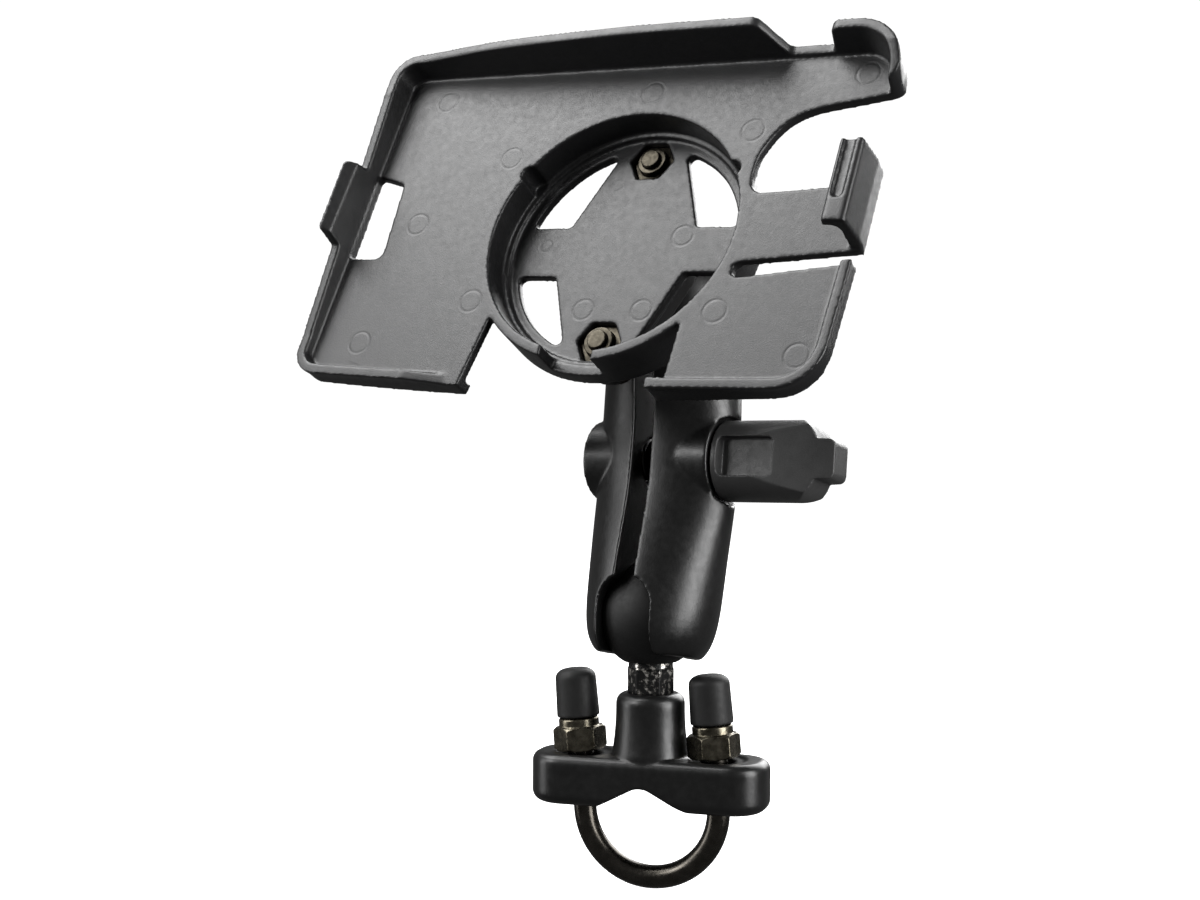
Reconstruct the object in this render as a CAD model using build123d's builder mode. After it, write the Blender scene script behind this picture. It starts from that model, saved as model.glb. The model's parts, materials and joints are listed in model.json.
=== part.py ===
"""Handlebar mount for a phone or navigation device.

A cast base is clamped to a rail by a U-bolt. A ball on the base and a ball behind the cradle are
gripped by a two-part arm that one knob tightens. The device snaps into the moulded cradle.

Frame: millimetres, +Z up. The origin is on the axis of the rail in the clamp, under the lower
ball. +X runs from one leg of the U-bolt to the other and the rail runs along Y. The cradle faces
-Y. The arm and the cradle stand at their rest angles, each in a frame of its own below.
"""

import os
from math import cos, radians, sin

from build123d import *

# ---- driving dimensions ----------------------------------------------------------------------

# ball joints
BALL_Z = 50.7  # lower ball's centre above the rail axis
BALL_RADIUS = 12.7
CORE_RADIUS = 11.2  # metal core under the rubber
COVER_GAP = 0.05
NECK_RADIUS = 5.3
NECK_OPENING = 6.3  # mouth of each rubber cover
SOCKET_RADIUS = BALL_RADIUS + 0.1

# base casting
BASE_LENGTH = 57.5
BASE_DEPTH = 19.0
BASE_CORNER = 8.4
BASE_BOTTOM = 5.6
BASE_TOP = 17.5
GROOVE_HALF_WIDTH = 11.0
GROOVE_DEPTH = 5.8
POST_TOP = 32.3
POST_BORE = 4.75
POST_BORE_FLOOR = 19.0

# U-bolt and its hardware
LEG_SPACING = 33.0
ROD_RADIUS = 2.75
THREAD_RADIUS = 3.1
LEG_HOLE_RADIUS = 4.05
LEG_LEAN = 4.8  # degrees that the U-bolt leans in its holes, top to the left
LEG_SHIFT = 0.3  # to the left, in the play of its holes
LEAN_PIVOT_Z = 11.8
BEND_Z = 4.8
LEG_TOP = 33.4
THREAD_START = 7.5
NUT_FLATS = 11.1
NUT_HEX_HEIGHT = 5.6
NUT_HEIGHT = 7.8
NUT_COLLAR_RADIUS = 4.85
NUT_SEAT = BASE_TOP - 0.5
NYLON_OUTER = 4.0
NUT_LIFT = 0.75  # a leaning nut's centre stands this far off its seat
CAP_RADIUS = 5.15
CAP_BOTTOM = NUT_HEIGHT + 0.15  # above the nut's seat, along the leg
CAP_TOP = 19.6
CAP_BORE_TOP = 17.9

# arm
ARM_TURN = 12.5  # degrees about the post
ARM_TILT = 10.7  # degrees back from upright
ARM_ROLL = 1.0  # degrees to the left
ARM_LENGTH = 73.7  # between ball centres
HALF_GAP = 2.5
WINDOW_HALF_WIDTH = 7.0
ARM_WALL = 3.0
HOLLOW_END = 16.5
INNER_BOSS_RADIUS = 7.4
BOLT_Z = ARM_LENGTH / 2
BOLT_RADIUS = 3.1
BOLT_HOLE_RADIUS = 3.35
HEAD_BOSS_RADIUS = 9.7
HEAD_BOSS_FACE = 16.9
KNOB_BOSS_RADIUS = 10.4
KNOB_BOSS_FACE = 16.6
BOLT_HEAD_HEIGHT = 4.2
WASHER_HEIGHT = 1.4
SPRING_RADIUS = 5.0
SPRING_WIRE = 0.6

# knob
KNOB_START = KNOB_BOSS_FACE + 0.6
KNOB_END = 45.9
KNOB_RADIUS = 9.6

# cradle, in its own frame: X to the right, Y up the face, Z out of the face
CRADLE_TURN = 11.0
CRADLE_TILT = 27.1
CRADLE_ROLL = 2.3
CRADLE_STANDOFF = 37.7  # ball centre to the cradle's floor
FLOOR_THICKNESS = 2.6
WALL = 2.5
WALL_DRAFT = 8.5  # degrees that the walls lean outwards
CUP_RADIUS = 31.4
CUP_DEPTH = 8.8
CUP_OUTER = 34.0
CUP_BACK = 11.2
PAD_BACK = 14.2
HOLE_SPACING = 48.6
CRADLE_NUT_FLATS = 9.5
PLATE_THICKNESS = 4.0
SCREW_RADIUS = 2.35
HINGE_X = 34.8
STRAP_THICKNESS = 2.2

# ---- frames ----------------------------------------------------------------------------------

BALL = Location((0, 0, BALL_Z))
LEAN = Pos(-LEG_SHIFT, 0, LEAN_PIVOT_Z) * Rot(0, -LEG_LEAN, 0) * Pos(0, 0, -LEAN_PIVOT_Z)
ARM = BALL * Rot(0, 0, -ARM_TURN) * Rot(-ARM_TILT, 0, 0) * Rot(0, -ARM_ROLL, 0)
BOLT = ARM * Pos(0, 0, BOLT_Z)
UPPER_CENTRE = (ARM * Pos(0, 0, ARM_LENGTH)).position
UPPER = (
    Pos(*UPPER_CENTRE)
    * Rot(0, 0, -CRADLE_TURN)
    * Rot(90, 0, 0)
    * Rot(-CRADLE_TILT, 0, 0)
    * Rot(0, 0, -CRADLE_ROLL)
)
CRADLE = UPPER * Pos(0, 0, CRADLE_STANDOFF)


def on(frame, plane):
    """The plane given in a frame's own coordinates, as a plane of the whole model."""
    return Plane(frame * plane.location)


def save(part, name):
    """Label a finished part and write it to its STEP file."""
    part.label = name
    export_step(part, f"parts/{name}.step")


os.makedirs("parts", exist_ok=True)

# ---- base casting ----------------------------------------------------------------------------

LEGS = [(-LEG_SPACING / 2, 0), (LEG_SPACING / 2, 0)]
SPOT_FACE_RADIUS = 6.8

with BuildPart() as base_plate:
    with BuildSketch(Plane.XY.offset(BASE_BOTTOM)):
        RectangleRounded(BASE_LENGTH, BASE_DEPTH, BASE_CORNER)
    extrude(amount=BASE_TOP - BASE_BOTTOM)
    fillet(base_plate.faces().sort_by(Axis.Z)[-1].edges(), radius=2.2)
    fillet(base_plate.faces().sort_by(Axis.Z)[0].edges(), radius=2.6)
    # rail groove: a wide V with a rounded top
    with BuildSketch(Plane.XZ) as groove:
        with BuildLine():
            Polyline(
                (-GROOVE_HALF_WIDTH - 2, BASE_BOTTOM - 1),
                (0, BASE_BOTTOM + GROOVE_DEPTH),
                (GROOVE_HALF_WIDTH + 2, BASE_BOTTOM - 1),
                close=True,
            )
        make_face()
        fillet(groove.vertices().sort_by(Axis.Y)[-1], radius=5)
    extrude(amount=BASE_DEPTH, both=True, mode=Mode.SUBTRACT)
    # tapered post for the ball stud
    with BuildSketch(Plane.XZ):
        with BuildLine():
            Polyline((0, BASE_TOP - 2), (9.1, BASE_TOP - 2), (9.1, BASE_TOP + 0.4))
            Spline((9.1, BASE_TOP + 0.4), (8.8, BASE_TOP + 2.4), (8.2, POST_TOP - 2.6))
            Spline((8.2, POST_TOP - 2.6), (7.7, POST_TOP - 0.9), (6.5, POST_TOP))
            Polyline((6.5, POST_TOP), (0, POST_TOP), (0, BASE_TOP - 2))
        make_face()
    revolve(axis=Axis.Z)
    with BuildSketch(Plane.XY.offset(POST_BORE_FLOOR)):
        Circle(POST_BORE)
    extrude(amount=BASE_TOP, mode=Mode.SUBTRACT)
    with BuildSketch(Plane.XY.offset(BASE_BOTTOM - 1)):
        with Locations(*LEGS):
            Circle(LEG_HOLE_RADIUS)
    extrude(amount=BASE_TOP, mode=Mode.SUBTRACT)
    with BuildSketch(Plane.XY.offset(NUT_SEAT)):
        with Locations(*LEGS):
            Circle(SPOT_FACE_RADIUS)
        Circle(9.6, mode=Mode.SUBTRACT)
    extrude(amount=2, mode=Mode.SUBTRACT)
save(base_plate.part, "base_plate")

# ---- lower ball stud and its rubber cover ----------------------------------------------------

NECK_FLATS = 9.7
NECK_HEX_TOP = 38.2

with BuildPart() as ball_stud:
    with BuildSketch(Plane.XY.offset(POST_BORE_FLOOR + 0.5)):
        Circle(POST_BORE - 0.05)
    extrude(amount=POST_TOP - POST_BORE_FLOOR - 0.5)
    with BuildSketch(Plane.XY.offset(POST_TOP)):
        RegularPolygon(NECK_FLATS / 2, 6, major_radius=False, rotation=8)
    extrude(amount=NECK_HEX_TOP - POST_TOP)
    with BuildSketch(Plane.XY.offset(NECK_HEX_TOP)):
        Circle(NECK_RADIUS)
    extrude(amount=BALL_Z - NECK_HEX_TOP)
    with Locations((0, 0, BALL_Z)):
        Sphere(CORE_RADIUS)
save(ball_stud.part, "ball_stud")


def ball_cover(frame):
    """Rubber shell round a ball core, open where the neck enters from -Z of the frame."""
    with BuildPart(Plane(frame)) as cover:
        Sphere(BALL_RADIUS)
        Sphere(CORE_RADIUS + COVER_GAP, mode=Mode.SUBTRACT)
        with BuildSketch(on(frame, Plane.XY.offset(-BALL_RADIUS - 1))):
            Circle(NECK_OPENING)
        extrude(amount=BALL_RADIUS, mode=Mode.SUBTRACT)
    return cover.part


save(ball_cover(BALL), "lower_ball_cover")
save(ball_cover(UPPER * Rot(180, 0, 0)), "upper_ball_cover")

# ---- U-bolt, lock nuts and end caps ----------------------------------------------------------

HALF_SPACING = LEG_SPACING / 2


def leg_frame(leg_x):
    """Frame on a leaning leg's axis, with its origin at the nut's seat."""
    lean = radians(LEG_LEAN)
    rise = (NUT_SEAT + NUT_LIFT - LEAN_PIVOT_Z - leg_x * sin(lean)) / cos(lean)
    return LEAN * Pos(leg_x, 0, LEAN_PIVOT_Z + rise)


with BuildPart() as u_bolt:
    with BuildLine(on(LEAN, Plane.XZ)):
        Line((-HALF_SPACING, THREAD_START), (-HALF_SPACING, BEND_Z))
        ThreePointArc(
            (-HALF_SPACING, BEND_Z), (0, BEND_Z - HALF_SPACING), (HALF_SPACING, BEND_Z)
        )
        Line((HALF_SPACING, BEND_Z), (HALF_SPACING, THREAD_START))
    with BuildSketch(on(LEAN, Plane.XY.offset(THREAD_START))):
        with Locations((-HALF_SPACING, 0)):
            Circle(ROD_RADIUS)
    sweep()
    with BuildSketch(on(LEAN, Plane.XY.offset(THREAD_START))):
        with Locations(*LEGS):
            Circle(THREAD_RADIUS)
    extrude(amount=LEG_TOP - THREAD_START)
    chamfer(u_bolt.faces().sort_by(Axis.Z)[-2:].edges(), length=0.8)
save(u_bolt.part, "u_bolt")

for side, leg_x in (("left", -HALF_SPACING), ("right", HALF_SPACING)):
    seat = leg_frame(leg_x)
    with BuildPart() as lock_nut:
        with BuildSketch(Plane(seat)):
            RegularPolygon(NUT_FLATS / 2, 6, major_radius=False, rotation=20)
        extrude(amount=NUT_HEX_HEIGHT)
        # the hexagon's corners are rounded off at top and bottom
        with BuildSketch(on(seat, Plane.XZ)):
            with BuildLine():
                Polyline(
                    (0, 0),
                    (5.6, 0),
                    (6.6, 0.8),
                    (6.6, NUT_HEX_HEIGHT - 0.8),
                    (5.6, NUT_HEX_HEIGHT),
                    (0, NUT_HEX_HEIGHT),
                    close=True,
                )
            make_face()
        revolve(axis=Axis(seat.position, Plane(seat).z_dir), mode=Mode.INTERSECT)
        with BuildSketch(Plane(seat).offset(NUT_HEX_HEIGHT)):
            Circle(NUT_COLLAR_RADIUS)
        extrude(amount=NUT_HEIGHT - NUT_HEX_HEIGHT)
        fillet(lock_nut.faces().sort_by(Axis.Z)[-1].edges(), radius=0.7)
        with BuildSketch(Plane(seat)):
            Circle(THREAD_RADIUS + 0.05)
        extrude(amount=NUT_HEIGHT, mode=Mode.SUBTRACT)
        with BuildSketch(Plane(seat).offset(NUT_HEX_HEIGHT)):
            Circle(NYLON_OUTER)
        extrude(amount=NUT_HEIGHT, mode=Mode.SUBTRACT)
    save(lock_nut.part, f"lock_nut_{side}")

    with BuildPart() as nylon_ring:
        with BuildSketch(Plane(seat).offset(NUT_HEX_HEIGHT)):
            Circle(NYLON_OUTER)
            Circle(THREAD_RADIUS + 0.05, mode=Mode.SUBTRACT)
        extrude(amount=NUT_HEIGHT - NUT_HEX_HEIGHT - 0.2)
    save(nylon_ring.part, f"nylon_ring_{side}")

    with BuildPart() as thread_cap:
        with BuildSketch(on(seat, Plane.XZ)):
            with BuildLine():
                Line((0, CAP_BOTTOM), (CAP_RADIUS, CAP_BOTTOM))
                Line((CAP_RADIUS, CAP_BOTTOM), (CAP_RADIUS - 0.25, CAP_TOP - 2.4))
                Spline(
                    (CAP_RADIUS - 0.25, CAP_TOP - 2.4),
                    (CAP_RADIUS - 1.1, CAP_TOP - 0.75),
                    (0, CAP_TOP),
                    tangents=((0, 1), (-1, 0)),
                )
                Line((0, CAP_TOP), (0, CAP_BOTTOM))
            make_face()
            with BuildLine():
                Polyline(
                    (0, CAP_BOTTOM),
                    (THREAD_RADIUS + 0.05, CAP_BOTTOM),
                    (THREAD_RADIUS + 0.05, CAP_BORE_TOP),
                    (0, CAP_BORE_TOP),
                    close=True,
                )
            make_face(mode=Mode.SUBTRACT)
        revolve(axis=Axis(seat.position, Plane(seat).z_dir))
    save(thread_cap.part, f"thread_cap_{side}")

# ---- arm halves ------------------------------------------------------------------------------

# outer half-widths at heights from one end: of the bolt's half and of the knob's half, measured
# across the slit, and from the middle to the front
ARM_SECTIONS = [
    (-9.7, 11.8, 12.5, 12.8),
    (-6.0, 14.2, 14.8, 15.3),
    (0.0, 15.3, 16.3, 15.9),
    (12.0, 15.8, 17.6, 14.6),
    (24.0, 16.2, 18.9, 12.4),
    (BOLT_Z, 16.2, 19.5, 11.5),
]


def arm_sections(side, shrink):
    """Cross-sections of one half's loft, each drawn in by a wall thickness."""
    upper = [(ARM_LENGTH - z, *widths) for z, *widths in reversed(ARM_SECTIONS[:-1])]
    sections = []
    for z, bolt_side, knob_side, deep in ARM_SECTIONS + upper:
        across = bolt_side if side < 0 else knob_side
        with BuildSketch(on(ARM, Plane.XY.offset(z))) as section:
            Ellipse(across - shrink, deep - shrink)
        sections.append(section.sketch)
    return sections


def keyhole(z, towards):
    """Window round a ball: a slot that runs off the arm's end, closed by a half-circle."""
    with BuildSketch(on(ARM, Plane.XZ)) as window:
        with Locations((0, z)):
            Circle(WINDOW_HALF_WIDTH)
        with Locations((0, z + towards * 10)):
            Rectangle(2 * WINDOW_HALF_WIDTH, 20)
    return window.sketch


def arm_hollow(side):
    """Space inside the arm between the two sockets, round the boss that carries the bolt."""
    with BuildPart(Plane(ARM)) as hollow:
        loft(arm_sections(side, ARM_WALL))
        split(bisect_by=on(ARM, Plane.XY.offset(HOLLOW_END)), keep=Keep.TOP)
        split(bisect_by=on(ARM, Plane.XY.offset(ARM_LENGTH - HOLLOW_END)), keep=Keep.BOTTOM)
        with BuildSketch(on(ARM, Plane.YZ)):
            with Locations((0, BOLT_Z)):
                Circle(INNER_BOSS_RADIUS)
        extrude(amount=25, both=True, mode=Mode.SUBTRACT)
    return hollow.part


def arm_half(side, boss_radius, boss_face):
    """One cast half of the arm; side is -1 for the bolt's half and +1 for the knob's half."""
    with BuildPart(Plane(ARM)) as half:
        loft(arm_sections(side, 0))
        with BuildSketch(on(ARM, Plane.YZ)):
            with Locations((0, BOLT_Z)):
                Circle(boss_radius)
        extrude(amount=side * boss_face)
        # flat seat round the bolt, let into the side where the side is fuller
        with BuildSketch(on(ARM, Plane.YZ.offset(side * boss_face))):
            with Locations((0, BOLT_Z)):
                Circle(boss_radius)
        extrude(amount=side * 10, mode=Mode.SUBTRACT)
        # everything on the other side of the slit goes
        with BuildSketch(on(ARM, Plane.XZ)):
            with Locations((-side * (40 - HALF_GAP), BOLT_Z)):
                Rectangle(80, 130)
        extrude(amount=25, both=True, mode=Mode.SUBTRACT)
        add(arm_hollow(side), mode=Mode.SUBTRACT)
        with Locations((0, 0, 0), (0, 0, ARM_LENGTH)):
            Sphere(SOCKET_RADIUS, mode=Mode.SUBTRACT)
        extrude(keyhole(1.0, -1), amount=20, both=True, mode=Mode.SUBTRACT)
        extrude(keyhole(ARM_LENGTH - 1.0, 1), amount=20, both=True, mode=Mode.SUBTRACT)
        with BuildSketch(on(ARM, Plane.YZ)):
            with Locations((0, BOLT_Z)):
                Circle(BOLT_HOLE_RADIUS)
        extrude(amount=25, both=True, mode=Mode.SUBTRACT)
        # seat of the clamp spring in the inner boss
        with BuildSketch(on(ARM, Plane.YZ.offset(side * HALF_GAP))):
            with Locations((0, BOLT_Z)):
                Circle(SPRING_RADIUS + SPRING_WIRE + 0.3)
        extrude(amount=side * 5.5, mode=Mode.SUBTRACT)
        if side < 0:
            with BuildSketch(on(ARM, Plane.YZ.offset(-boss_face))):
                with Locations((0, BOLT_Z)):
                    RegularPolygon(NUT_FLATS / 2 + 0.15, 6, major_radius=False)
            extrude(amount=BOLT_HEAD_HEIGHT + 0.4, mode=Mode.SUBTRACT)
        else:
            with BuildSketch(on(ARM, Plane.YZ.offset(boss_face - WASHER_HEIGHT + 0.5))):
                with Locations((0, BOLT_Z)):
                    Circle(7.6)
            extrude(amount=WASHER_HEIGHT, mode=Mode.SUBTRACT)
    return half.part


save(arm_half(-1, HEAD_BOSS_RADIUS, HEAD_BOSS_FACE), "arm_bolt_half")
save(arm_half(1, KNOB_BOSS_RADIUS, KNOB_BOSS_FACE), "arm_knob_half")

# ---- clamp bolt, spring, washer, knob --------------------------------------------------------

BOLT_TIP = 33.0

with BuildPart() as clamp_bolt:
    with BuildSketch(on(BOLT, Plane.YZ.offset(-HEAD_BOSS_FACE + 0.2))):
        RegularPolygon(NUT_FLATS / 2, 6, major_radius=False)
    extrude(amount=BOLT_HEAD_HEIGHT)
    with BuildSketch(on(BOLT, Plane.YZ.offset(-HEAD_BOSS_FACE + 2))):
        Circle(BOLT_RADIUS)
    extrude(amount=BOLT_TIP + HEAD_BOSS_FACE - 2)
save(clamp_bolt.part, "clamp_bolt")

SPRING_HALF_LENGTH = 7.2
SPRING_TURNS = 5
bolt_axis = Plane(BOLT).x_dir

with BuildPart() as clamp_spring:
    with BuildLine() as coil:
        Helix(
            pitch=2 * SPRING_HALF_LENGTH / SPRING_TURNS,
            height=2 * SPRING_HALF_LENGTH,
            radius=SPRING_RADIUS,
            center=BOLT.position - bolt_axis * SPRING_HALF_LENGTH,
            direction=bolt_axis,
        )
    with BuildSketch(Plane(origin=coil.line @ 0, z_dir=coil.line % 0)):
        Circle(SPRING_WIRE)
    sweep(path=coil.line, is_frenet=True)
save(clamp_spring.part, "clamp_spring")

with BuildPart() as clamp_washer:
    with BuildSketch(on(BOLT, Plane.YZ.offset(KNOB_BOSS_FACE - WASHER_HEIGHT + 0.5))):
        Circle(7.4)
        Circle(BOLT_HOLE_RADIUS, mode=Mode.SUBTRACT)
    extrude(amount=WASHER_HEIGHT)
save(clamp_washer.part, "clamp_washer")

INSERT_START = KNOB_START + 0.6
INSERT_END = INSERT_START + 9
INSERT_FLATS = 9.4

SHOULDER_START = 36.2
NOSE_HALF_HEIGHT = 4.7

with BuildPart() as clamp_knob:
    # outline seen with the wings spread: a barrel, sloping shoulders and a blunt nose
    with BuildSketch(on(BOLT, Plane.XZ)) as knob_outline:
        with BuildLine():
            for up in (-1, 1):
                Line((KNOB_START, up * KNOB_RADIUS), (SHOULDER_START, up * KNOB_RADIUS))
                ThreePointArc(
                    (SHOULDER_START, up * KNOB_RADIUS),
                    (SHOULDER_START + 3.6, up * (NOSE_HALF_HEIGHT + 3.0)),
                    (SHOULDER_START + 5.4, up * NOSE_HALF_HEIGHT),
                )
                Line((SHOULDER_START + 5.4, up * NOSE_HALF_HEIGHT), (KNOB_END, up * NOSE_HALF_HEIGHT))
            Line((KNOB_START, -KNOB_RADIUS), (KNOB_START, KNOB_RADIUS))
            Line((KNOB_END, -NOSE_HALF_HEIGHT), (KNOB_END, NOSE_HALF_HEIGHT))
        make_face()
        fillet(knob_outline.vertices().sort_by(Axis.X)[-2:], radius=1.6)
    extrude(amount=KNOB_RADIUS, both=True)
    # barrel seen along the bolt
    with BuildSketch(on(BOLT, Plane.YZ)):
        Circle(KNOB_RADIUS)
    extrude(amount=KNOB_END + 1, mode=Mode.INTERSECT)
    # the two grip faces taper towards the nose
    with BuildSketch(on(BOLT, Plane.XY)):
        with BuildLine():
            Polyline(
                (KNOB_START - 1, -KNOB_RADIUS - 1),
                (25.0, -KNOB_RADIUS - 1),
                (26.0, -KNOB_RADIUS + 0.8),
                (KNOB_END + 1, -3.6),
                (KNOB_END + 1, 3.6),
                (26.0, KNOB_RADIUS - 0.8),
                (25.0, KNOB_RADIUS + 1),
                (KNOB_START - 1, KNOB_RADIUS + 1),
                close=True,
            )
        make_face()
    extrude(amount=KNOB_RADIUS + 1, both=True, mode=Mode.INTERSECT)
    # core recess in each side
    with BuildSketch(on(BOLT, Plane.XZ)):
        with Locations((25.2, 0)):
            RectangleRounded(13.2, 9.2, 1.2)
    extrude(amount=20, both=True, mode=Mode.SUBTRACT)
    with BuildSketch(on(BOLT, Plane.YZ.offset(KNOB_START + 0.8))):
        Rectangle(11.4, 10.4)
    extrude(amount=15.2)
    with BuildSketch(on(BOLT, Plane.YZ)):
        Circle(BOLT_HOLE_RADIUS)
    extrude(amount=BOLT_TIP + 1.5, mode=Mode.SUBTRACT)
    with BuildSketch(on(BOLT, Plane.YZ)):
        RegularPolygon(INSERT_FLATS / 2, 6, major_radius=False)
    extrude(amount=INSERT_END, mode=Mode.SUBTRACT)
save(clamp_knob.part, "clamp_knob")

with BuildPart() as knob_insert:
    with BuildSketch(on(BOLT, Plane.YZ.offset(INSERT_START))):
        RegularPolygon(INSERT_FLATS / 2, 6, major_radius=False)
        Circle(BOLT_RADIUS + 0.05, mode=Mode.SUBTRACT)
    extrude(amount=INSERT_END - INSERT_START)
save(knob_insert.part, "knob_insert")

# ---- ball plate behind the cradle ------------------------------------------------------------

PLATE_FRONT = CRADLE_STANDOFF - PAD_BACK  # measured from the ball's centre
PLATE_BACK = PLATE_FRONT - PLATE_THICKNESS
SCREW_SPOTS = [(0, HOLE_SPACING / 2), (0, -HOLE_SPACING / 2)]


def diamond(end_radius, middle_radius):
    """Diamond outline with round ends over the two screws."""
    with BuildSketch(mode=Mode.PRIVATE) as outline:
        with Locations(*SCREW_SPOTS):
            Circle(end_radius)
        Circle(middle_radius)
        make_hull()
    return outline.sketch


with BuildPart(Plane(UPPER)) as ball_plate:
    with BuildSketch(on(UPPER, Plane.XY.offset(PLATE_BACK))):
        add(diamond(6.4, 15.0))
    extrude(amount=PLATE_THICKNESS)
    with BuildSketch(on(UPPER, Plane.XZ)):
        with BuildLine():
            Line((0, 0), (NECK_RADIUS, 0))
            Line((NECK_RADIUS, 0), (NECK_RADIUS, PLATE_BACK - 5))
            Spline(
                (NECK_RADIUS, PLATE_BACK - 5),
                (NECK_RADIUS + 1.6, PLATE_BACK - 1.4),
                (NECK_RADIUS + 5, PLATE_BACK + 0.2),
                tangents=((0, 1), (1, 0)),
            )
            Polyline((NECK_RADIUS + 5, PLATE_BACK + 0.2), (0, PLATE_BACK + 0.2), (0, 0))
        make_face()
    revolve(axis=Axis(UPPER_CENTRE, Plane(UPPER).z_dir))
    Sphere(CORE_RADIUS)
    with BuildSketch(on(UPPER, Plane.XY.offset(PLATE_BACK - 1))):
        with Locations(*SCREW_SPOTS):
            Circle(SCREW_RADIUS + 0.15)
    extrude(amount=PLATE_THICKNESS + 2, mode=Mode.SUBTRACT)
save(ball_plate.part, "ball_plate")

# ---- cradle moulding -------------------------------------------------------------------------

SIDE_LEFT_TOP = -69.6
SIDE_LEFT_BOTTOM = -71.5
SIDE_RIGHT_BOTTOM = 57.8
SIDE_RIGHT_TOP = 60.7
INNER_TOP = 44.8
INNER_BOTTOM_LEFT = -37.7
INNER_BOTTOM_RIGHT = -36.8
BOTTOM_BOW = 1.4
TALLEST = 12.0
ABOVE = 14.0  # higher than any wall
HOOK_RIM = 8.3
SKIRT_DEPTH = 5.4
SKIRT_END = 2.4
WINDOW_OUTER = 27.8
WINDOW_START = 6.0
LOW_WINDOW_START = 7.5
NUT_FLOOR = -CUP_DEPTH - 4.2


def tray_outline(grow):
    """Plan of the tray's inner wall face, grown outwards; the bottom side is slightly bowed."""
    left_top = (SIDE_LEFT_TOP - grow, INNER_TOP + grow)
    left_bottom = (SIDE_LEFT_BOTTOM - grow, INNER_BOTTOM_LEFT - grow)
    right_bottom = (SIDE_RIGHT_BOTTOM + grow, INNER_BOTTOM_RIGHT - grow)
    right_top = (SIDE_RIGHT_TOP + grow, INNER_TOP + grow)
    middle = (
        (left_bottom[0] + right_bottom[0]) / 2,
        (left_bottom[1] + right_bottom[1]) / 2 - BOTTOM_BOW,
    )
    with BuildSketch(mode=Mode.PRIVATE) as outline:
        with BuildLine():
            Line(left_top, left_bottom)
            ThreePointArc(left_bottom, middle, right_bottom)
            Line(right_bottom, right_top)
            Line(right_top, left_top)
        make_face()
        corners = outline.vertices()
        fillet(corners.sort_by_distance(left_top)[0], radius=4.0 + grow)
        corners = outline.vertices()
        fillet(corners.sort_by_distance(left_bottom)[0], radius=3.5 + grow)
        corners = outline.vertices()
        fillet(corners.sort_by_distance(right_bottom)[0], radius=8.5 + grow)
        corners = outline.vertices()
        fillet(corners.sort_by_distance(right_top)[0], radius=8.0 + grow)
    return outline.sketch


def side_profile(points, plane, rounded=()):
    """Closed outline drawn on a side plane of the cradle, with some of its corners rounded."""
    with BuildSketch(on(CRADLE, plane), mode=Mode.PRIVATE) as profile:
        with BuildLine():
            Polyline(*points, close=True)
        make_face()
        for corner, radius in rounded:
            fillet(profile.vertices().sort_by_distance(corner)[0], radius=radius)
    return profile.sketch


def floor_window(sx, sy):
    """One of the four windows in the cup's floor; the one at the lower left starts further out."""
    start = LOW_WINDOW_START if sx < 0 and sy < 0 else WINDOW_START
    with BuildSketch(mode=Mode.PRIVATE) as window:
        Circle(WINDOW_OUTER)
        with BuildLine():
            Polyline(
                (sx * 16.7, sy * start),
                (sx * 40, sy * start),
                (sx * 40, sy * 40),
                (sx * 3.3, sy * 40),
                close=True,
            )
        make_face(mode=Mode.INTERSECT)
        fillet(window.vertices(), radius=1.2)
    return window.sketch


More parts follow.
